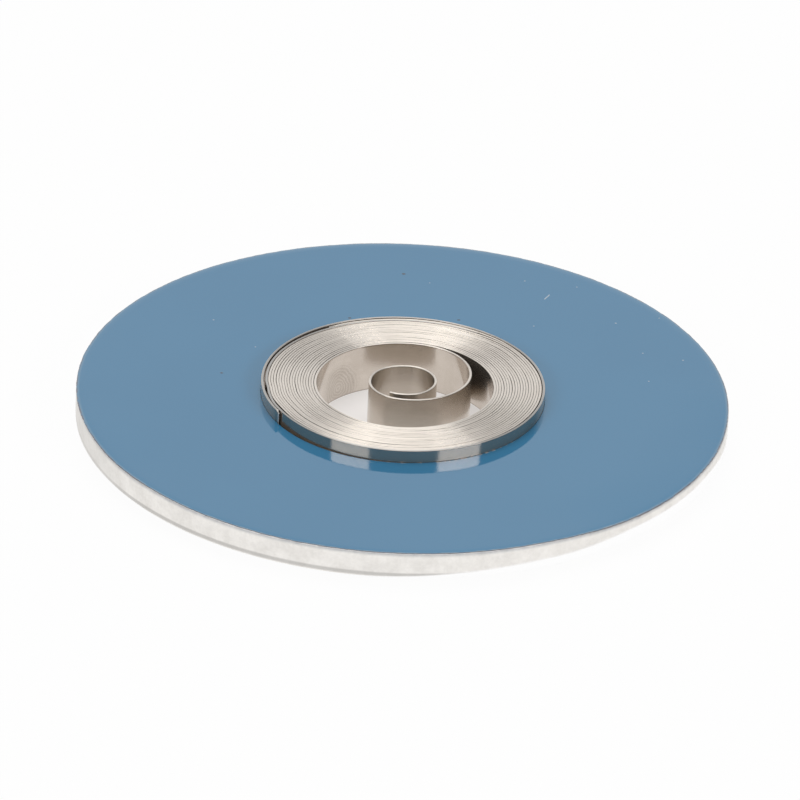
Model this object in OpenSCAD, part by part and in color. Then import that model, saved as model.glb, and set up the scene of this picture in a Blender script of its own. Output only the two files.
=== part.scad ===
// Wound watch mainspring with a slipping bridle, held closed in the hole of a flat carrier disc.
// The spring stands on its lower edges at z = 0, and the disc grips it part of the way up.
// Seen from above, the strip winds inwards clockwise.

/* [Mainspring strip] */
// Thickness of the strip
strip_t = 0.091; // [0.07:0.001:0.1]
// Height of the strip, from edge to edge
strip_h = 1.95; // [1.6:0.01:2.4]
// Turns that lie closed in the pack
pack_turns = 18; // [12:1:19]
// Gap between neighbouring turns
turn_gap = 0.012; // [0.011:0.001:0.018]

/* [Inner curl] */
// Direction in which the strip leaves the pack, turned from +X
leave_az = 75; // [60:1:90]
// Radius of the wide free loop, to the middle of the strip
free_loop_r = 2.26; // [2:0.01:2.4]
// Angle that the wide free loop turns through
free_loop_sweep = 180; // [170:1:190]
// Radius of the loop that closes in on the arbor, to the middle of the strip
closing_r = 1.35; // [1.3:0.01:1.45]
// Angle that the closing loop turns through
closing_sweep = 168; // [150:1:180]
// Radius of the arbor's seat, inside the last coil
seat_r = 1.115; // [0.9:0.005:1.18]
// Angle that the last coil holds of the arbor
seat_sweep = 206; // [180:1:220]
// Length of the eye for the arbor's hook, along the strip
eye_l = 0.7; // [0.5:0.05:0.9]
// Height of the eye
eye_h = 0.45; // [0.3:0.05:0.5]
// Middle of the eye, measured back from the strip's inner end
eye_from_end = 0.8; // [0.6:0.05:1.2]

/* [Bridle] */
// Outer diameter of the spring, over the bridle
spring_d = 10.84; // [10.6:0.02:11.4]
// Thickness of the bridle
bridle_t = 0.095; // [0.085:0.001:0.12]
// Direction of the bridle's free outer end, turned from +X
outer_end_az = 210; // [205:1:220]
// Angle over which the bridle lies on the wall, before it turns in under its own outer end
wall_sweep = 274; // [270:1:282]
// Bevel on the corners of the bridle's free end
tip_bevel = 0.12; // [0.1:0.02:0.4]

/* [Weld] */
// Angle over which the mainspring's outer end lies on the bridle before the weld's own stretch
lead_sweep = 8; // [4:1:12]
// Angle of the weld's own stretch, up to the bridle's inner end
lap_sweep = 58; // [48:1:64]
// Angle over which the mainspring drops from the overlap to the bridle's own track
drop_sweep = 40; // [36:1:48]
// Radius of a weld spot
spot_r = 0.18; // [0.12:0.01:0.22]
// Distance between the two weld spots, up the strip
spot_pitch = 0.8; // [0.6:0.05:1]

/* [Carrier disc] */
// Diameter of the disc
disc_d = 25; // [20:0.5:32]
// Thickness of the bare disc
disc_t = 1.05; // [0.6:0.01:1.1]
// Thickness of the coloured coat on its upper face
coat_t = 0.02; // [0.01:0.005:0.04]
// Bare margin outside the coat, at the rim
rim_margin = 0.01; // [0.01:0.01:0.1]
// Bare margin inside the coat, at the hole
hole_margin = 0.01; // [0.005:0.005:0.1]
// Height by which the spring stands out of the coated face
spring_proud = 0.49; // [0.3:0.01:0.6]
// Clearance between the bridle and the wall of the hole
hole_clearance = 0.02; // [0.012:0.002:0.03]

/* [Hidden] */
$fn = 96;

// Heights in the disc
disc_z = strip_h - spring_proud - coat_t - disc_t;
hole_r = spring_d / 2 + hole_clearance;

// Radius steps: from the wall to the bridle's next track, and for each half turn after that
wall_r = (spring_d - bridle_t) / 2;
step_in = (bridle_t + turn_gap) / (1 - cos(360 - wall_sweep));
lap_pitch = (bridle_t + strip_t) / 2 + turn_gap;
half_lap_pitch = lap_pitch / 2;
half_pitch = (strip_t + turn_gap) / 2;
under_r = neat(wall_r - step_in);
track_r = under_r - half_lap_pitch;
seat_mid_r = seat_r + strip_t / 2;

// The half turns of the pack begin and end on one line, the x axis of the spring's own frame
line_az = outer_end_az - wall_sweep;
half_turns = 2 * pack_turns - 1;
inner_r = track_r - half_lap_pitch - half_turns * half_pitch;

// The mainspring's way from the overlap down to the bridle's track: two mirrored arcs
lap_end_gap = 2;
drop_half = drop_sweep / 2;
drop_change = neat(lap_pitch / (2 * (1 - cos(drop_half))));

// An arc that ends on the line meets the next face to face. Any other is cut a hair short, and
// a round post closes the joint. The post is a hair thicker than the strip, and a hair lower.
joint_cut = 0.005;
post_excess = 0.001;
post_sink = 0.002;

// An arc is [centre, radius, start azimuth, clockwise sweep]. The next arc starts where the
// last one ends, in the same direction, so its centre shifts along their common radius.
function neat(v) = round(v * 100000) / 100000;
function unit(az) = [cos(az), sin(az)];
function end_az(arc) = arc[2] - arc[3];
function end_point(arc) = arc[0] + arc[1] * unit(end_az(arc));
function slants(arc) = end_az(arc) % 180 != 0;
function next_arc(arc, r, sweep) = [arc[0] + (arc[1] - r) * unit(end_az(arc)), r, end_az(arc), sweep];
function chain(arc, steps, i = 0) =
    i == len(steps) ? [arc] : concat([arc], chain(next_arc(arc, steps[i][0], steps[i][1]), steps, i + 1));

bridle_arcs = chain([[0, 0], wall_r, wall_sweep, wall_sweep], [
    [under_r, 180],
    [track_r, lap_sweep],
]);
under = bridle_arcs[1];
track = bridle_arcs[2];

lap_steps = [[track_r + lap_pitch, lap_sweep + lap_end_gap]];
drop_steps = [
    [track_r + lap_pitch - drop_change, drop_half],
    [track_r + drop_change, drop_half],
    [track_r, 180 - lap_sweep - lap_end_gap - drop_sweep],
];
pack_steps = [for (i = [0 : half_turns - 1]) [track_r - half_lap_pitch - i * half_pitch, 180]];
curl_steps = [
    [inner_r, line_az + 180 - leave_az],
    [free_loop_r, free_loop_sweep],
    [closing_r, closing_sweep],
    [seat_mid_r, seat_sweep],
];
spring_arcs = chain(
    [under[0], under_r + lap_pitch, end_az(under) + lead_sweep, lead_sweep],
    concat(lap_steps, drop_steps, pack_steps, curl_steps)
);
seat = spring_arcs[len(spring_arcs) - 1];

// Least gap of the mainspring to itself, measured between points along the middle of the strip
points_per_arc = 30;
points = [for (arc = spring_arcs) for (k = [0 : points_per_arc - 1])
    arc[0] + arc[1] * unit(arc[2] - arc[3] * k / points_per_arc)];
near = points_per_arc;
far = 3 * points_per_arc;
gaps = [for (i = [0 : len(points) - far - 1]) for (j = [i + near : i + far]) norm(points[i] - points[j])];
echo(least_gap_to_itself = min(gaps) - strip_t);

// Where the parts that other things touch come to lie
function arc_length(arcs, i = 0) =
    i == len(arcs) ? 0 : PI / 180 * arcs[i][1] * arcs[i][3] + arc_length(arcs, i + 1);
echo(spring_length = arc_length(spring_arcs), bridle_length = arc_length(bridle_arcs));
echo(seat_centre = norm(seat[0]) * unit(atan2(seat[0][1], seat[0][0]) + line_az), hole_r = hole_r, disc_z = disc_z);

// A strip of one thickness, standing on edge along a chain of arcs
module strip(arcs, t) {
    last = len(arcs) - 1;
    for (i = [0 : last]) {
        arc = arcs[i];
        cut_az = slants(arc) ? joint_cut / arc[1] * 180 / PI : 0;
        start_cut = i > 0 ? cut_az : 0;
        end_cut = i < last ? cut_az : 0;
        translate([arc[0][0], arc[0][1], 0])
            rotate([0, 0, end_az(arc) + end_cut])
            rotate_extrude(angle = arc[3] - start_cut - end_cut)
            translate([arc[1] - t / 2, 0])
            square([t, strip_h]);
        if (i < last && (slants(arc) || slants(arcs[i + 1]))) {
            translate([end_point(arc)[0], end_point(arc)[1], post_sink])
                rotate([0, 0, end_az(arc) + 90])
                cylinder(r = t / 2 + post_excess, h = strip_h - 2 * post_sink);
        }
    }
}

// Flat punched washer with the hole that the spring is wound into
module carrier_disc() {
    color("gainsboro")
    translate([0, 0, disc_z])
    difference() {
        cylinder(r = disc_d / 2, h = disc_t);
        translate([0, 0, -disc_t])
            cylinder(r = hole_r, h = 3 * disc_t);
    }
}

// Thin coloured coat, on the upper face alone
module blue_coat() {
    color("steelblue")
    translate([0, 0, disc_z + disc_t])
    difference() {
        cylinder(r = disc_d / 2 - rim_margin, h = coat_t);
        translate([0, 0, -coat_t])
            cylinder(r = hole_r + hole_margin, h = 3 * coat_t);
    }
}

// What is cut away to bevel one corner of the bridle's free end, on its upper or lower side
module tip_corner(side) {
    rotate([side * 45, 0, 0])
        translate([-bridle_t, -tip_bevel / sqrt(2), -2 * tip_bevel])
        cube([2 * bridle_t, 3 * tip_bevel, 4 * tip_bevel]);
}

// Slipping bridle: the stiff outer turn, which presses on the wall and runs on under its own end
module bridle() {
    color("lightgray")
    rotate([0, 0, line_az])
    difference() {
        strip(bridle_arcs, bridle_t);
        for (side = [-1, 1]) {
            rotate([0, 0, wall_sweep])
                translate([wall_r, 0, (1 + side) / 2 * strip_h])
                tip_corner(side);
        }
        weld_slugs();
    }
}

// The two weld spots, which run through both strips in the middle of their overlap
module weld_slugs() {
    translate([track[0][0], track[0][1], 0])
    rotate([0, 0, track[2] - lap_sweep / 2])
    translate([track_r - bridle_t / 2, 0, strip_h / 2])
    for (side = [-1, 1]) {
        translate([0, 0, side * spot_pitch / 2])
            rotate([0, 90, 0])
            cylinder(r = spot_r, h = bridle_t + turn_gap + strip_t);
    }
}

module weld_spots() {
    color("darkgray")
    rotate([0, 0, line_az])
    weld_slugs();
}

// Slot near the inner end of the strip, which the arbor's hook catches
module eye() {
    eye_az = end_az(seat) + eye_from_end / seat_mid_r * 180 / PI;
    cut_l = 3 * strip_t;
    half_l = (eye_l - eye_h) / 2;
    translate([seat[0][0], seat[0][1], 0])
    rotate([0, 0, eye_az])
    translate([seat_mid_r - cut_l / 2, 0, strip_h / 2]) {
        for (side = [-1, 1]) {
            translate([0, side * half_l, 0])
                rotate([0, 90, 0])
                cylinder(r = eye_h / 2, h = cut_l);
        }
        translate([0, -half_l, -eye_h / 2])
            cube([cut_l, 2 * half_l, eye_h]);
    }
}

// Mainspring: one strip from the overlap, through the closed pack, to the coil for the arbor
module mainspring() {
    color("silver")
    rotate([0, 0, line_az])
    difference() {
        strip(spring_arcs, strip_t);
        eye();
        weld_slugs();
    }
}

carrier_disc();
blue_coat();
bridle();
mainspring();
weld_spots();
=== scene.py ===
import math

import bpy
from mathutils import Matrix, Vector, noise


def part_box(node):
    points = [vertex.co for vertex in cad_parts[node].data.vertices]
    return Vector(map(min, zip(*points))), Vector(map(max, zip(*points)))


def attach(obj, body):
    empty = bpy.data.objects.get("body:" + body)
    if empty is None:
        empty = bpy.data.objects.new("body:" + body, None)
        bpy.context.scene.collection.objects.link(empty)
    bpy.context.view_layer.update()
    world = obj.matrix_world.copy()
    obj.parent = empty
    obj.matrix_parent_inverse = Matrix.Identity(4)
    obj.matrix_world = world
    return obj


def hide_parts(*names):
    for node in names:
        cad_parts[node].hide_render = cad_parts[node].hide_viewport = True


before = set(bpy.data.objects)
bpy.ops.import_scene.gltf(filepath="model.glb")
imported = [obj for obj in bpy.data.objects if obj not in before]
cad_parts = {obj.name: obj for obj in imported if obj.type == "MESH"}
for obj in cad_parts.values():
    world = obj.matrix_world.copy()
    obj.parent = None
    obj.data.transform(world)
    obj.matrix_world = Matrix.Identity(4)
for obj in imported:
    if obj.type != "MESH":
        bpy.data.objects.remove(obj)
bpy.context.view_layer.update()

# Carrier disc: a flat washer blanked from aluminium sheet, in which the spring is supplied. The
# blanking tool rolls its lower edge over, pulls the rim down a little at the right front, and leaves
# the rim with a faint mottle. Its hole is cut the same way, and the wound spring presses on it.
MM = 0.001
disc_r = 12.5 * MM
hole_r = 5.44 * MM
disc_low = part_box("carrier_disc")[0].z
disc_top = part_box("carrier_disc")[1].z
disc_edge = 0.015 * MM
roll_in = 0.09 * MM
roll_up = 0.2 * MM
rim_levels = 16
disc_turn_steps = 900
pulled_depth = 0.115 * MM
pulled_width = 3.0 * MM
pulled_span = (-64, -42, -18, 8)
pulled_again_span = (-165, -150, -150, -135)
rim_wander = 0.008 * MM
left_shade_from = -9.5 * MM
left_shade_to = -12.2 * MM
band_top = 1.03 * MM
band_fade = 0.08 * MM
band_high_span = (-105, -58, 0, 25)
band_highest_span = (-62, -42, -22, -5)
plain_depth = 0.5 * MM


class Value:
    """One socket of a material's nodes, which sums and products of it continue with Math nodes."""

    def __init__(self, tree, socket):
        self.tree = tree
        self.socket = socket

    def make(self, kind, output, settings, inputs):
        """Any other node: its settings are set first, then the values or links of its sockets."""
        node = self.tree.nodes.new(kind)
        for name, setting in settings.items():
            setattr(node, name, setting)
        for name, given in inputs.items():
            if isinstance(given, Value):
                self.tree.links.new(given.socket, node.inputs[name])
            else:
                node.inputs[name].default_value = given
        return Value(self.tree, node.outputs[output])

    def maths(self, operation, first, second=0.0, clamp=False):
        return self.make(
            "ShaderNodeMath", 0, {"operation": operation, "use_clamp": clamp}, {0: first, 1: second}
        )

    def __add__(self, other):
        return self.maths("ADD", self, other)

    __radd__ = __add__

    def __sub__(self, other):
        return self.maths("SUBTRACT", self, other)

    def __rsub__(self, other):
        return self.maths("SUBTRACT", other, self)

    def __mul__(self, other):
        return self.maths("MULTIPLY", self, other)

    __rmul__ = __mul__

    def clamped(self):
        return self.maths("ADD", self, 0.0, clamp=True)

    def step(self, low, high):
        """0 below low, 1 above high, and a smooth rise between them."""
        return self.make(
            "ShaderNodeMapRange", 0, {"interpolation_type": "SMOOTHSTEP"},
            {"Value": self, "From Min": low, "From Max": high},
        )

    def mixed(self, first, second):
        """A colour between two, by this value."""
        return self.make("ShaderNodeMix", 2, {"data_type": "RGBA"}, {0: self, 6: first, 7: second})

    def noise(self, scale, detail, roughness):
        return self.make(
            "ShaderNodeTexNoise", 0, {},
            {"Vector": self, "Scale": scale, "Detail": detail, "Roughness": roughness},
        )

    def part(self, axis):
        """One part of a direction or a place: 0 to the right, 1 to the back, 2 up."""
        return self.make("ShaderNodeSeparateXYZ", axis, {}, {"Vector": self})

    def stretched(self, x, y, z):
        """These coordinates, each multiplied by its own factor."""
        return self.make("ShaderNodeVectorMath", 0, {"operation": "MULTIPLY"}, {0: self, 1: (x, y, z)})


def finish_of(name, **sockets):
    """A material, its shader, and the value that its nodes start from."""
    material = bpy.data.materials.new(name)
    material.use_nodes = True
    shader = material.node_tree.nodes["Principled BSDF"]
    for socket, given in sockets.items():
        shader.inputs[socket.replace("_", " ")].default_value = given
    return material, shader, Value(material.node_tree, None)


def feed(shader, socket, value):
    """Links a value to one of the shader's sockets."""
    value.tree.links.new(value.socket, shader.inputs[socket])


def bump(shader, height, distance):
    """Raises the surface by this height, in metres of distance."""
    raised = height.make("ShaderNodeBump", 0, {}, {"Height": height, "Distance": distance})
    feed(shader, "Normal", raised)


def piece(name, points, faces, material, smooth_angle=30):
    """A mesh object with smooth shading up to an angle."""
    mesh = bpy.data.meshes.new(name)
    mesh.from_pydata(points, [], faces)
    mesh.materials.append(material)
    mesh.shade_smooth()
    mesh.set_sharp_from_angle(angle=math.radians(smooth_angle))
    made = bpy.data.objects.new(name, mesh)
    bpy.context.scene.collection.objects.link(made)
    return made


def marked(made, name, values):
    """Gives each point of a piece a number, which its material reads by name."""
    made.data.attributes.new(name, "FLOAT", "POINT").data.foreach_set("value", values)


def turned(profile, steps, shift):
    """A closed profile of (radius, height) turned round the axis. shift moves a point out and up."""
    points = []
    for k in range(steps):
        turn = 2 * math.pi * k / steps
        for r, z in profile:
            dr, dz = shift(turn, r, z)
            points.append(((r + dr) * math.cos(turn), (r + dr) * math.sin(turn), z + dz))
    n = len(profile)
    faces = []
    for k in range(steps):
        here, ahead = k * n, (k + 1) % steps * n
        for i in range(n):
            j = (i + 1) % n
            faces.append((here + i, ahead + i, ahead + j, here + j))
    return points, faces


def corner(cx, cz, across, up, first, last, steps):
    """Points of a rounded corner, from one direction to another in degrees."""
    return [
        (
            cx + across * math.cos(math.radians(first + (last - first) * i / steps)),
            cz + up * math.sin(math.radians(first + (last - first) * i / steps)),
        )
        for i in range(steps + 1)
    ]


def rise(value, low, high):
    """0 below low, 1 above high, and a smooth rise between them."""
    share = max(0.0, min(1.0, (value - low) / (high - low)))
    return share * share * (3 - 2 * share)


def span(value, begins, full, fades, ends):
    """1 from full to fades, falling smoothly to 0 at begins and at ends."""
    return rise(value, begins, full) * (1 - rise(value, fades, ends))


def degrees_round(turn):
    """An angle in degrees from the right, negative at the front."""
    return (math.degrees(turn) + 180) % 360 - 180


def pulled_down(turn, r):
    """How far the tool has pulled the rim down, nearly all of it at the right front."""
    az = degrees_round(turn)
    most = span(az, *pulled_span) + 0.2 * span(az, *pulled_again_span)
    share = max(0.0, (r - disc_r + pulled_width) / pulled_width)
    return pulled_depth * most * share * share


rim_low = disc_low + roll_up
rim_high = disc_top - disc_edge
disc_profile = (
    [(hole_r + 3 * disc_edge, disc_low)]
    + [(disc_r - 6 * roll_in, disc_low), (disc_r - 2 * roll_in, disc_low)]
    + corner(disc_r - roll_in, disc_low + roll_up, roll_in, roll_up, -90, 0, 8)
    + [(disc_r, rim_low + (rim_high - rim_low) * i / rim_levels) for i in range(1, rim_levels)]
    + corner(disc_r - disc_edge, disc_top - disc_edge, disc_edge, disc_edge, 0, 90, 3)
    + [(disc_r - pulled_width * i / 5, disc_top) for i in range(1, 6)]
    + [(hole_r + 4 * disc_edge, disc_top)]
    + corner(hole_r + disc_edge, disc_top - disc_edge, disc_edge, disc_edge, 90, 180, 2)
    + corner(hole_r + disc_edge, disc_low + disc_edge, disc_edge, disc_edge, 180, 260, 2)
)


def at_left(turn):
    """1 at the left end of the disc, where its lower edge isn't rolled over, and 0 elsewhere."""
    return rise(abs(degrees_round(turn)), 148, 172)


def rim_shift(turn, r, z):
    """The rim wanders in by a few microns, and follows the pulled edge from its foot up."""
    if r < disc_r - pulled_width:
        return 0.0, 0.0
    up = (z - disc_low) / (disc_top - disc_low)
    place = Vector((math.cos(turn), math.sin(turn), z / disc_r))
    dent = 0.5 + 0.25 * noise.noise(place * 9) + 0.25 * noise.noise(place * 34)
    inward = rim_wander * dent if r > disc_r - roll_in else 0.0
    if z < rim_low and r > disc_r - 1.5 * roll_in:
        inward -= 0.8 * (disc_r - r) * at_left(turn)
    return -inward, -pulled_down(turn, r) * up * up


bare_metal, shader, start = finish_of("bare_aluminium", Metallic=1.0)
place = start.make("ShaderNodeTexCoord", "Object", {}, {})
below = start.make("ShaderNodeAttribute", 2, {"attribute_name": "below"}, {})
burnished = start.make("ShaderNodeAttribute", 2, {"attribute_name": "burnished"}, {})
mottle = place.noise(1.3 / MM, 3.0, 0.6).step(0.3, 0.7)
grain = place.noise(7.0 / MM, 2.0, 0.6).step(0.25, 0.75)
nicks = place.noise(4.5 / MM, 2.0, 0.5).step(0.7, 0.78)
tone = (mottle * 0.6 + grain * 0.4) * (1 - nicks * 0.4)
skin = tone.mixed((0.83, 0.805, 0.77, 1), (0.955, 0.93, 0.895, 1))
# Painted shade: the top of the rim, just under the coat, is darkened towards blue-grey in ragged
# patches.
rim_top_shade = (1 - below.step(0.0, 0.16)) * (0.2 + place.noise(3.0 / MM, 3.0, 0.6) * 0.7)
skin = rim_top_shade.mixed(skin, (0.36, 0.38, 0.42, 1))
# Painted shade: the rim is darker towards its left end, where it faces the dim side of the room.
left_shade = 1 - place.part(0).step(left_shade_to, left_shade_from)
skin = (left_shade * 0.5).mixed(skin, (0.68, 0.665, 0.64, 1))
# Painted shade: a darker line along the rolled lower edge, not on the burnished band, less at the left.
roll_shade = below.step(0.77, 0.86) * (1 - below.step(0.93, 1.02)) * (1 - burnished) * (1 - left_shade * 0.7)
skin = (roll_shade * 0.75).mixed(skin, (0.52, 0.505, 0.485, 1))
feed(shader, "Base Color", burnished.mixed(skin, (1, 1, 1, 1)))
feed(shader, "Roughness", (0.5 - tone * 0.08) * (1 - burnished) + burnished * 0.12)
bump(shader, mottle * 0.5 + grain * 0.5 - nicks * 0.6, 0.006 * MM)

points, faces = turned(disc_profile, disc_turn_steps, rim_shift)
disc = piece("washer", points, faces, bare_metal)
depths, bands = [], []
for x, y, z in points:
    turn = math.atan2(y, x)
    az = degrees_round(turn)
    r = math.hypot(x, y)
    depth = disc_top - pulled_down(turn, disc_r) - z
    higher = 0.42 * MM * span(az, *band_high_span) + 0.28 * MM * span(az, *band_highest_span)
    starts = band_top - higher
    on_rim = r > disc_r - 2 * roll_in
    depths.append((depth if on_rim else plain_depth) / MM)
    bands.append(rise(depth, starts, starts + band_fade) if on_rim else 0.0)
marked(disc, "below", depths)
marked(disc, "burnished", bands)
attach(disc, "carrier")
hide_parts("carrier_disc")

# Blue coat: a thin glossy lacquer, baked on before the disc is blanked. The cut leaves its edge at
# the rim ragged and rubbed pale, with the brown of its primer in the edge itself. The spring has
# chipped its edge at the front right of the hole. A few nibs of dust and a scratch lie in it.
coat_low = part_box("blue_coat")[0].z
coat_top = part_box("blue_coat")[1].z
coat_outer = 12.475 * MM
coat_inner = 5.4415 * MM
coat_edge = 0.006 * MM
coat_ragged = 0.015 * MM
coat_turn_steps = 1800
worn_in = 0.035 * MM
worn_span = (-150, -125, -62, -45)
left_further = 0.014 * MM
coat_flat_r = 9.0 * MM
edge_zone = 0.04 * MM
edge_row = 0.05 * MM
pale_nibs = [
    (-7.44, 5.41, 0.03), (-5.75, 3.34, 0.025), (0.87, 9.26, 0.02), (4.58, 9.76, 0.03),
    (6.62, 9.44, 0.025), (8.15, 6.57, 0.035), (4.97, 6.04, 0.025), (9.2, 4.19, 0.03),
    (10.75, 3.75, 0.035), (9.43, 1.92, 0.025), (9.83, 7.14, 0.025),
]
dark_nibs = [(-6.98, 1.1, 0.055), (-2.18, 6.05, 0.06), (-0.16, 9.92, 0.07), (2.05, 6.27, 0.06)]
scratch_middle = (5.46, 8.5)
scratch_l = 0.5
scratch_w = 0.035

coat_profile = (
    [(coat_inner, coat_low), (disc_r - pulled_width, coat_low), (coat_outer, coat_low)]
    + corner(coat_outer - coat_edge, coat_top - coat_edge, coat_edge, coat_edge, 0, 90, 3)
    + [(disc_r - pulled_width * i / 8, coat_top) for i in range(1, 9)]
    + [(coat_flat_r, coat_top), (coat_inner + edge_row, coat_top)]
    + corner(coat_inner + coat_edge, coat_top - coat_edge, coat_edge, coat_edge, 90, 180, 3)
)


def coat_shift(turn, r, z):
    """Ragged at the rim, in steps that the blanking tool tears, and nearly true at the hole."""
    place = Vector((math.cos(turn), math.sin(turn), 0.3))
    if r < coat_inner + edge_zone:
        return 0.1 * coat_ragged * (1 + noise.noise(place * 22)), 0.0
    if r < coat_outer - edge_zone:
        return 0.0, -pulled_down(turn, r)
    torn = noise.noise(place * 26) * 0.7 + noise.noise(place * 90) * 0.5
    ragged = coat_ragged * max(-1.0, min(0.6, torn * 1.8))
    worn_back = worn_in * span(degrees_round(turn), *worn_span)
    return ragged + left_further * at_left(turn) - worn_back, -pulled_down(turn, r)


lacquer, shader, start = finish_of("blue_lacquer", Roughness=0.06, IOR=1.66)
place = start.make("ShaderNodeTexCoord", "Object", {}, {})
east = place.part(0) * (1 / MM)
north = place.part(1) * (1 / MM)
facing = start.make("ShaderNodeTexCoord", "Normal", {}, {}).part(2)
out = east.maths("SQRT", east * east + north * north)
cloud = place.noise(0.18 / MM, 2.0, 0.5).step(0.3, 0.7)
grain = place.noise(14.0 / MM, 2.0, 0.6)
tint = cloud * 0.6 + grain * 0.4
colour = tint.mixed((0.0335, 0.175, 0.327, 1), (0.0375, 0.185, 0.341, 1))
ragged = place.noise(2.5 / MM, 3.0, 0.6)
front = 1 - north.step(-9.5, -6.0)
rubbed = out.step(12.34, 12.45) * (0.1 + ragged * 0.3 + front * ragged.step(0.3, 0.7) * 0.45)
colour = rubbed.mixed(colour, (0.36, 0.42, 0.45, 1))
stained = out.step(12.43, 12.465) * ragged.step(0.35, 0.6) * 0.75
colour = stained.mixed(colour, (0.13, 0.1, 0.11, 1))
chipped = (1 - out.step(5.46, 5.51)) * place.noise(6.0 / MM, 2.0, 0.5).step(0.5, 0.6)
chipped = chipped * (1 - north.step(-4.3, -3.0)) * east.step(-1.5, 0.5)
colour = (chipped * 0.8).mixed(colour, (0.45, 0.46, 0.45, 1))
primer_shows = (1 - facing.step(0.2, 0.5)) * out.step(8, 9)
colour = primer_shows.mixed(colour, (0.11, 0.075, 0.07, 1))


def nibs(spots):
    """1 on each of these spots of (x, y, radius), and 0 elsewhere. The first has a ragged outline."""
    nearest = None
    for x, y, r in spots:
        spot_r = r * (0.4 + place.noise(9.0 / MM, 2.0, 0.5) * 1.2) if nearest is None else r
        apart = east.maths("SQRT", (east - x) * (east - x) + (north - y) * (north - y)) - spot_r
        nearest = apart if nearest is None else nearest.maths("MINIMUM", nearest, apart)
    return 1 - nearest.step(-0.01, 0.02)


colour = (nibs(pale_nibs) * 0.5).mixed(colour, (0.55, 0.57, 0.57, 1))
colour = (nibs(dark_nibs) * 0.85).mixed(colour, (0.03, 0.05, 0.07, 1))
along = (east - scratch_middle[0]) * 0.45 + (north - scratch_middle[1]) * 0.9
aside = (east - scratch_middle[0]) * 0.9 - (north - scratch_middle[1]) * 0.45
scratched = (1 - along.maths("ABSOLUTE", along).step(scratch_l * 0.4, scratch_l * 0.5)) * (
    1 - aside.maths("ABSOLUTE", aside).step(scratch_w * 0.3, scratch_w)
)
feed(shader, "Base Color", (scratched * 0.6).mixed(colour, (0.6, 0.62, 0.62, 1)))
feed(shader, "Roughness", 0.05 + grain * 0.03 + rubbed * 0.3)
bump(shader, place.noise(1.6 / MM, 2.0, 0.5), 0.0006 * MM)

points, faces = turned(coat_profile, coat_turn_steps, coat_shift)
coat = piece("blue_lacquer", points, faces, lacquer, 40)
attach(coat, "carrier")
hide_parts("blue_coat")

# Bridle: the stiff outer strip of the slipping spring. It lies on the hole's wall for most of a
# turn, then turns in under its own bevelled end and runs on to the weld. Polished nickel steel.
strip_h = 1.95 * MM
strip_t = 0.091 * MM
turn_gap = 0.012 * MM
bridle_t = 0.095 * MM
spring_r = 5.42 * MM
outer_end_az = 210
wall_sweep = 274
lap_sweep = 58
line_az = outer_end_az - wall_sweep
tip_bevel = 0.12 * MM
strip_round = 0.013 * MM
bridle_edge = 0.03 * MM
ground_l = 1.2 * MM
arc_step = 1.25
pressed = 0.018 * MM
bridle_uneven = 0.004 * MM
bridle_film = 0.15

wall_r = spring_r - bridle_t / 2
step_in = (bridle_t + turn_gap) / (1 - math.cos(math.radians(360 - wall_sweep)))
lap_pitch = (bridle_t + strip_t) / 2 + turn_gap
half_pitch = (strip_t + turn_gap) / 2
under_r = wall_r - step_in
track_r = under_r - lap_pitch / 2


def unit(degrees):
    return Vector((math.cos(math.radians(degrees)), math.sin(math.radians(degrees))))


def arc_chain(first, steps):
    """Arcs of (centre, radius, start, clockwise sweep), each tangent to the one before it."""
    arcs = [first]
    for radius, sweep in steps:
        centre, r, begin, turn = arcs[-1]
        end = begin - turn
        arcs.append((centre + (r - radius) * unit(end), radius, end, sweep))
    return arcs


def strip_section(t, h, rounding):
    """The strip's cross-section as (across, up) with rolled edges, counter-clockwise."""
    half = t / 2
    rows = [0.06 * MM, 0.2 * MM, 0.7 * MM]
    ring = corner(half - rounding, rounding, rounding, rounding, -90, 0, 4)
    ring += [(half, rounding + s) for s in rows] + [(half, h - rounding - s) for s in reversed(rows)]
    ring += corner(half - rounding, h - rounding, rounding, rounding, 0, 90, 4)
    ring += corner(-half + rounding, h - rounding, rounding, rounding, 90, 180, 4)
    ring += [(-half, h - rounding - s) for s in rows] + [(-half, rounding + s) for s in reversed(rows)]
    ring += corner(-half + rounding, rounding, rounding, rounding, 180, 270, 4)
    return ring


def strip_piece(name, arcs, t, settle, ends, material):
    """A strip on edge along a chain of arcs, turned from the spring's own frame into the object's."""
    ring = strip_section(t, strip_h, strip_round)
    n = len(ring)
    stations, run = [], 0.0
    for number, (centre, r, begin, sweep) in enumerate(arcs):
        steps = max(4, math.ceil(sweep / arc_step))
        first = 0 if number == 0 else 1
        for k in range(first, steps + 1):
            az = begin - sweep * k / steps
            stations.append((centre, r, az, run + math.radians(sweep * k / steps) * r))
        run += math.radians(sweep) * r
    points, along = [], []
    for centre, r, az, s in stations:
        inward, low, high = settle(az, s)
        cut, thin = ends(s, run)
        for across, up in ring:
            share = up / strip_h
            z = up + (low + cut) * (1 - share) - (high + cut) * share
            place = centre + (r + across * thin - inward) * unit(az)
            points.append((*(Matrix.Rotation(math.radians(line_az), 2) @ place), z))
            along.append(s / MM)
    faces = [tuple(range(n)), tuple(reversed(range(len(points) - n, len(points))))]
    for k in range(len(stations) - 1):
        for i in range(n):
            j = (i + 1) % n
            faces.append((k * n + i, (k + 1) * n + i, (k + 1) * n + j, k * n + j))
    made = piece(name, points, faces, material, 50)
    marked(made, "along", along)
    return made


def hump(value, middle, half_width):
    """1 at the middle, falling smoothly to 0 at half the width away."""
    share = abs(value - middle) / half_width
    return 0.5 + 0.5 * math.cos(math.pi * share) if share < 1 else 0.0


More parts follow.
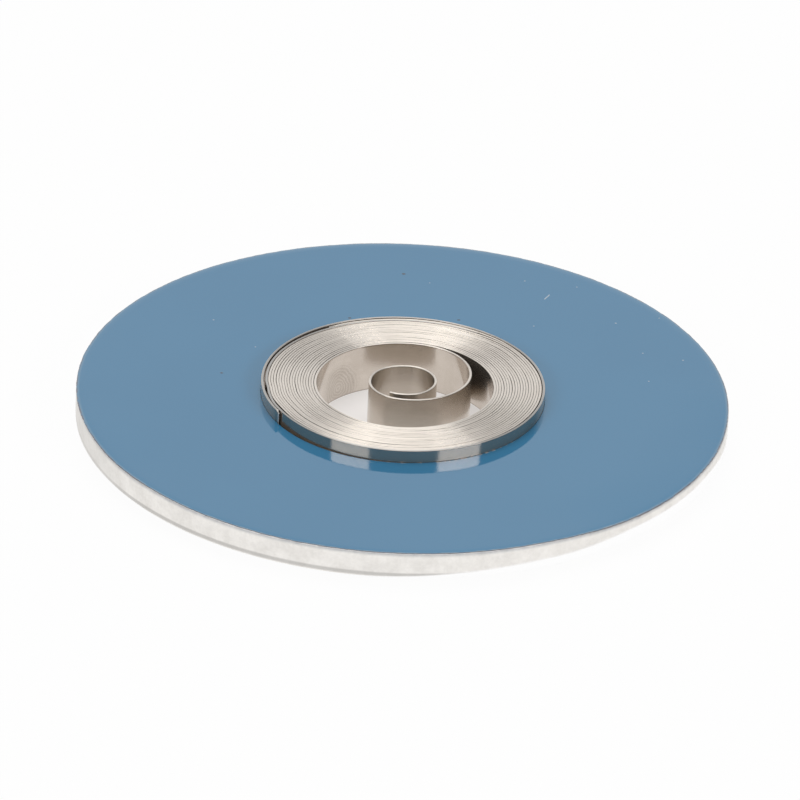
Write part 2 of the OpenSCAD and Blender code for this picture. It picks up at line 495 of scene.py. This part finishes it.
def bridle_settle(az, s):
    """Presses on the hole's wall, up to the foot of its own end, and stands true to a few microns.
    Under that end it springs out to the wall once more, then back in."""
    uneven = bridle_uneven * (0.5 + 0.5 * noise.noise(Vector((s / MM * 0.15, 0.0, 2.0))))
    inward = -pressed * (1 - rise(-az, 0, 40))
    if az < 0:
        here = az + line_az + 360
        sprung_in = 0.03 * hump(here, 187, 6)
        sprung_out = 0.022 * hump(here, 201, 11) + 0.055 * hump(here, 158, 38)
        inward += (sprung_in - sprung_out) * MM
    return inward, uneven, uneven


def bridle_ends(s, run):
    """The free end's corners are bevelled and its edge rounded over. The welded end is ground thin."""
    cut = tip_bevel * max(0.0, 1 - s / tip_bevel) ** 1.5
    edge = max(0.0, 1 - s / bridle_edge)
    return cut, math.sqrt(max(0.04, 1 - edge * edge)) * (1 - 0.7 * rise(s, run - ground_l, run))


def polished_strip(name, film, face, annealed_face, annealed_from, edge_colour, smear_at):
    """Rolled and polished spring strip: mirror-like faces, ground edges, faint cloudy tarnish. It is
    browner and duller where its inner end is annealed, and its cut outer end is bright. Painted shadow
    lies along its foot, a film of dust and oil on its faces, and a smear has dried in rings at one
    place."""
    material, shader, start = finish_of(
        name, Metallic=1 - film, Anisotropic=0.88, Anisotropic_Rotation=0.25
    )
    place = start.make("ShaderNodeTexCoord", "Object", {}, {})
    facing = start.make("ShaderNodeTexCoord", "Normal", {}, {}).part(2)
    run = start.make("ShaderNodeAttribute", 2, {"attribute_name": "along"}, {})
    height = place.part(2)
    lengthwise = start.make(
        "ShaderNodeCombineXYZ", 0, {}, {"X": run * 0.35, "Y": height * (1.0 / MM), "Z": 0.0}
    )
    lines = lengthwise.stretched(1.0, 26.0, 1.0).noise(1.0, 3.0, 0.6)
    cloud = lengthwise.noise(1.4, 3.0, 0.6)
    streak = lengthwise.stretched(4.0, 1.0, 1.0).noise(1.4, 3.0, 0.6)
    edge = facing.maths("ABSOLUTE", facing).step(0.3, 0.9)
    annealed = run.step(annealed_from - 5, annealed_from + 5)
    cut = 1 - run.step(0.03, 0.07)
    tone = cloud.step(0.3, 0.7) * 0.4 + lines * 0.15 + streak.step(0.3, 0.7) * 0.45
    tarnish = tone.mixed((0.88, 0.87, 0.855, 1), (1, 1, 1, 1))
    skin = edge.mixed(annealed.mixed(face, annealed_face), edge_colour)
    skin = cut.mixed(skin, (0.9, 0.89, 0.87, 1))
    # Painted shadow: the faces are darkened along the strip's foot, where it stands on the table.
    foot_shadow = (1 - height.step(0.02 * MM, 0.08 * MM)) * (1 - edge) * 0.6
    skin = foot_shadow.mixed(skin, (0.17, 0.16, 0.15, 1))
    apart = start.make("ShaderNodeVectorMath", 1, {"operation": "DISTANCE"}, {0: place, 1: smear_at})
    apart = apart * (1 / MM)
    rings = apart.maths("SINE", apart * 48 + place.noise(1.1 / MM, 2.0, 0.5) * 26) * 0.5 + 0.5
    smear = (1 - apart.step(0.65, 1.2)) * (0.3 + rings * 0.7) * (1 - edge)
    skin = (smear * 0.42).mixed(skin, (0.4, 0.37, 0.33, 1))
    multiplied = {"data_type": "RGBA", "blend_type": "MULTIPLY"}
    skin = start.make("ShaderNodeMix", 2, multiplied, {0: 1.0, 6: skin, 7: tarnish})
    feed(shader, "Base Color", skin)
    gloss = 0.12 + lines * 0.03 + streak.step(0.5, 0.75) * 0.03 + annealed * 0.1 + smear * 0.1
    matt = (edge + cut).clamped()
    feed(shader, "Roughness", gloss * (1 - matt) + matt * (0.41 + streak * 0.04))
    bump(shader, (cloud * 0.6 + lines * 0.02) * (1 - edge), 0.001 * MM)
    return material


bridle_face = (0.55, 0.48, 0.415, 1)
bridle_edge_colour = (0.5, 0.49, 0.475, 1)
not_annealed = 1000
no_smear = (0, 0, 50 * MM)
bridle_steel = polished_strip(
    "bridle_steel", bridle_film, bridle_face, bridle_face, not_annealed, bridle_edge_colour, no_smear
)
bridle_arcs = arc_chain(
    (Vector((0.0, 0.0)), wall_r, wall_sweep, wall_sweep), [(under_r, 180), (track_r, lap_sweep)]
)
bridle = strip_piece("bridle_strip", bridle_arcs, bridle_t, bridle_settle, bridle_ends, bridle_steel)
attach(bridle, "spring")
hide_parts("bridle")

# Mainspring: one long strip of rolled nickel alloy, welded to the bridle at its outer end and wound
# inwards clockwise. Its inner end is curled to grip the arbor, with an oval eye for the arbor's hook.
pack_turns = 18
leave_az = 75
lead_sweep = 8
lap_end_gap = 2
drop_half = 20
free_loop_r = 2.26 * MM
free_loop_sweep = 180
closing_r = 1.35 * MM
closing_sweep = 168
seat_r = 1.115 * MM
seat_sweep = 206
eye_l = 0.7 * MM
eye_h = 0.45 * MM
eye_from_end = 0.8 * MM
wander = 0.006 * MM
stands_proud = 0.03 * MM
opened = 0.024 * MM
closed_up = 0.0025 * MM
calm_from = pack_turns - 0.6
calm_to = pack_turns + 0.4
spring_film = 0.08
annealed_from = 494
smear_at = (-2.49 * MM, 2.09 * MM, 0.45 * MM)

drop_change = lap_pitch / (2 * (1 - math.cos(math.radians(drop_half))))
half_turns = 2 * pack_turns - 1
inner_r = track_r - lap_pitch / 2 - half_turns * half_pitch
under = bridle_arcs[1]
spring_arcs = arc_chain(
    (under[0], under_r + lap_pitch, under[2] - under[3] + lead_sweep, lead_sweep),
    [
        (track_r + lap_pitch, lap_sweep + lap_end_gap),
        (track_r + lap_pitch - drop_change, drop_half),
        (track_r + drop_change, drop_half),
        (track_r, 180 - lap_sweep - lap_end_gap - 2 * drop_half),
    ]
    + [(track_r - lap_pitch / 2 - i * half_pitch, 180) for i in range(half_turns)]
    + [
        (inner_r, line_az + 180 - leave_az),
        (free_loop_r, free_loop_sweep),
        (closing_r, closing_sweep),
        (seat_r + strip_t / 2, seat_sweep),
    ],
)


def looseness(turn, az):
    """How much wider than the least a gap is, at one place in one turn: a few gaps stand open."""
    here = Vector((*(0.9 * unit(az)), turn * 3.1 + 40))
    return (opened * max(0.0, noise.noise(here) - 0.18) - closed_up) * rise(turn, 0.2, 1)


def spring_settle(az, s):
    """Each turn stands a few microns higher or lower than the next, and wanders as little in and out.
    Near the bridle's free end the pack is pressed in, which leaves a short slit round it. Past the
    bridle's welded end it springs out, into the room that the end leaves, and at the right as well."""
    turn = (-180 - az) / 360
    here = Vector((*(1.3 * unit(az)), turn * 2.7))
    uneven = stands_proud * (0.5 + 0.5 * noise.noise(here))
    loose = sum(looseness(turn - k, az) for k in range(int(max(0.0, turn)) + 1))
    wandered = (loose + wander * noise.noise(here * 1.9)) * (1 - rise(turn, calm_from, calm_to))
    past = max(0.0, turn - 1)
    packed = min(max(0.0, turn - 0.3) * 4, 1.0) * max(0.0, 1 - past / 16)
    side = (az + line_az) % 360
    slit = 0.028 * hump(side, 187, 7) + 0.045 * hump(side, 207, 12) + 0.02 * hump(side, 222, 20)
    slit -= 0.07 * hump(side, 44, 22) * (1 if turn > 1 else 0) + 0.055 * hump(side, 158, 38)
    sprung = 0.045 * hump((side + 180) % 360, 196, 45) * max(0.0, 1 - past / 14)
    return (slit * packed - sprung) * MM + wandered, uneven, uneven


def ground_ends(s, run):
    """The welded outer end is ground thin. The inner end is left square."""
    return 0.0, 0.3 + 0.7 * rise(s, 0.0, ground_l / 2)


spring_face = (0.66, 0.61, 0.555, 1)
annealed_face = (0.6, 0.55, 0.49, 1)
spring_edge_colour = (0.79, 0.74, 0.685, 1)
spring_steel = polished_strip(
    "mainspring_alloy", spring_film, spring_face, annealed_face, annealed_from,
    spring_edge_colour, smear_at,
)
spring = strip_piece("spring_strip", spring_arcs, strip_t, spring_settle, ground_ends, spring_steel)

seat_centre, seat_mid_r, seat_begin = spring_arcs[-1][:3]
punch_reach = 0.2 * MM
eye_az = seat_begin - seat_sweep + math.degrees(eye_from_end / seat_mid_r)
outline = [
    (end * (eye_l - eye_h) / 2 + eye_h / 2 * unit(a).x, eye_h / 2 * unit(a).y)
    for end, first in ((1, -90), (-1, 90))
    for a in range(first, first + 181, 12)
]
punch_points = [
    (x, y, strip_h / 2 + z)
    for x in (seat_mid_r - punch_reach, seat_mid_r + punch_reach)
    for y, z in outline
]
count = len(outline)
punch_faces = [tuple(reversed(range(count))), tuple(range(count, 2 * count))] + [
    (i, (i + 1) % count, count + (i + 1) % count, count + i) for i in range(count)
]
punch = piece("eye_punch", punch_points, punch_faces, spring_steel)
turn_in = Matrix.Rotation(math.radians(line_az), 4, "Z")
punch.matrix_world = (
    turn_in @ Matrix.Translation((*seat_centre, 0)) @ Matrix.Rotation(math.radians(eye_az), 4, "Z")
)
cut = spring.modifiers.new("eye", "BOOLEAN")
cut.operation = "DIFFERENCE"
cut.object = punch
bpy.context.view_layer.update()
evaluated = spring.evaluated_get(bpy.context.evaluated_depsgraph_get())
punched = bpy.data.meshes.new_from_object(evaluated)
spring.modifiers.clear()
spring.data = punched
bpy.data.objects.remove(punch)
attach(spring, "spring")
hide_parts("mainspring")

# Weld spots: two small nuggets where the spot welder joined the overlapping strips. They keep the
# shape of the frame's own solids, and show the matt, heat-tinted skin of a weld.
weld_skin, shader, start = finish_of("weld_skin", Metallic=1.0, Roughness=0.4)
place = start.make("ShaderNodeTexCoord", "Object", {}, {})
tint = place.noise(6.0 / MM, 3.0, 0.6).step(0.3, 0.7)
feed(shader, "Base Color", tint.mixed((0.3, 0.27, 0.24, 1), (0.48, 0.45, 0.42, 1)))
feed(shader, "Roughness", 0.35 + tint * 0.2)
bump(shader, tint, 0.002 * MM)
for slot_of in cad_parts["weld_spots"].material_slots:
    slot_of.material = weld_skin

# Studio: a white table with a white backdrop behind it, a dim room in front, a broad lamp overhead
# and two soft boxes in front. The table and the backdrop show white to the eye and in the metal. The
# table keeps its shadow, and has painted shade in the well of the hole: dimmer and warmer there.
middle = Vector((0.0, 0.0, coat_top))
table_half = 2
lamp_distance = 0.8
well_r = 5.4 * MM
well_fade = 0.6 * MM
deep_from = -2.2 * MM
table, shader, start = finish_of(
    "white_table", Base_Color=(0.86, 0.86, 0.86, 1), Roughness=0.6, Specular_IOR_Level=0.2
)
seen = start.make("ShaderNodeLightPath", "Is Camera Ray", {}, {})
reflected = start.make("ShaderNodeLightPath", "Is Glossy Ray", {}, {})
reflected = (reflected + start.make("ShaderNodeLightPath", "Is Transmission Ray", {}, {})).clamped()
place = start.make("ShaderNodeTexCoord", "Object", {}, {})
east = place.part(0)
north = place.part(1)
# Painted shade: in the well of the hole, most at its front, the table shows less white glow, tinted
# warm.
well = 1 - east.maths("SQRT", east * east + north * north).step(well_r, well_r + well_fade)
deep = 1 - north.step(deep_from, deep_from + 1 * MM)
well_warm_shade = well.mixed((1, 1, 1, 1), (1, 0.95, 0.92, 1))
glow = start.make("ShaderNodeEmission", 0, {}, {"Color": well_warm_shade, "Strength": 1.0})
lit = Value(table.node_tree, shader.outputs[0])
share = seen * (0.95 - well * (0.45 + deep * 0.4)) + reflected * (0.95 - well * (0.15 + deep * 0.65))
kept = start.make("ShaderNodeMixShader", 0, {}, {0: share.clamped(), 1: lit, 2: glow})
table.node_tree.links.new(kept.socket, table.node_tree.nodes["Material Output"].inputs["Surface"])
table_corners = [(x * table_half, y * table_half, 0) for x, y in ((-1, -1), (1, -1), (1, 1), (-1, 1))]
floor = piece("table_top", table_corners, [(0, 1, 2, 3)], table)

world = bpy.data.worlds.new("studio")
bpy.context.scene.world = world
world.use_nodes = True
room = Value(world.node_tree, None)
background = world.node_tree.nodes["Background"]
direction = room.make("ShaderNodeTexCoord", "Generated", {}, {})
backdrop_way = (-0.17, 0.985, 0)
above = direction.part(2).step(0.55, 0.9)
behind = room.make(
    "ShaderNodeVectorMath", 1, {"operation": "DOT_PRODUCT"}, {0: direction, 1: backdrop_way}
).step(0.5, 0.78)
reflected = room.make("ShaderNodeLightPath", "Is Glossy Ray", {}, {})
reflected = reflected + room.make("ShaderNodeLightPath", "Is Transmission Ray", {}, {})
white = (room.make("ShaderNodeLightPath", "Is Camera Ray", {}, {}) + reflected * behind).clamped()
shade = (behind * 0.5 + above * 0.62).clamped().mixed((0.14, 0.14, 0.145, 1), (0.95, 0.95, 0.95, 1))
world.node_tree.links.new(white.mixed(shade, (1, 1, 1, 1)).socket, background.inputs["Color"])


def soft_box(name, azimuth, elevation, width, height, level, colour):
    """A rectangular lamp that faces the object, at a level that a white card would have."""
    lamp = bpy.data.lights.new(name, "AREA")
    lamp.shape = "RECTANGLE"
    lamp.size = width
    lamp.size_y = height
    lamp.energy = level * math.pi * width * height
    lamp.color = colour
    made = bpy.data.objects.new(name, lamp)
    bpy.context.scene.collection.objects.link(made)
    a, e = math.radians(azimuth), math.radians(elevation)
    away = Vector((math.cos(a) * math.cos(e), math.sin(a) * math.cos(e), math.sin(e)))
    made.location = middle + away * lamp_distance
    made.rotation_euler = away.to_track_quat("Z", "Y").to_euler()


soft_box("overhead_lamp", 120, 79, 0.6, 0.6, 2.1, (1, 0.98, 0.95))
soft_box("left_soft_box", 226.4, 29, 0.42, 0.2, 5.2, (1, 1, 0.98))
soft_box("right_soft_box", -41.5, 29, 0.47, 0.2, 6.2, (1, 1, 1))

# Camera: a long lens from the front, 28 degrees up, with the right side a little low.
distance = 400 * MM
lens_tilt = math.radians(28.38)
lens_roll = math.radians(2.47)
back = Vector((0.0, -math.cos(lens_tilt), math.sin(lens_tilt)))
level_up = Vector((0.0, math.sin(lens_tilt), math.cos(lens_tilt)))
right = math.cos(lens_roll) * Vector((1.0, 0.0, 0.0)) + math.sin(lens_roll) * level_up
up = math.cos(lens_roll) * level_up - math.sin(lens_roll) * Vector((1.0, 0.0, 0.0))
lens = bpy.data.cameras.new("long_lens")
lens.sensor_width = 36
lens.lens = 470.3
lens.clip_start = 0.01
camera = bpy.data.objects.new("camera", lens)
bpy.context.scene.collection.objects.link(camera)
shift_right = -0.1014 * MM
shift_up = -0.2143 * MM
spot = middle + distance * back + shift_right * right + shift_up * up
camera.matrix_world = Matrix.Translation(spot) @ Matrix((right, up, back)).transposed().to_4x4()
bpy.context.scene.camera = camera
bpy.context.scene.view_settings.view_transform = "Standard"
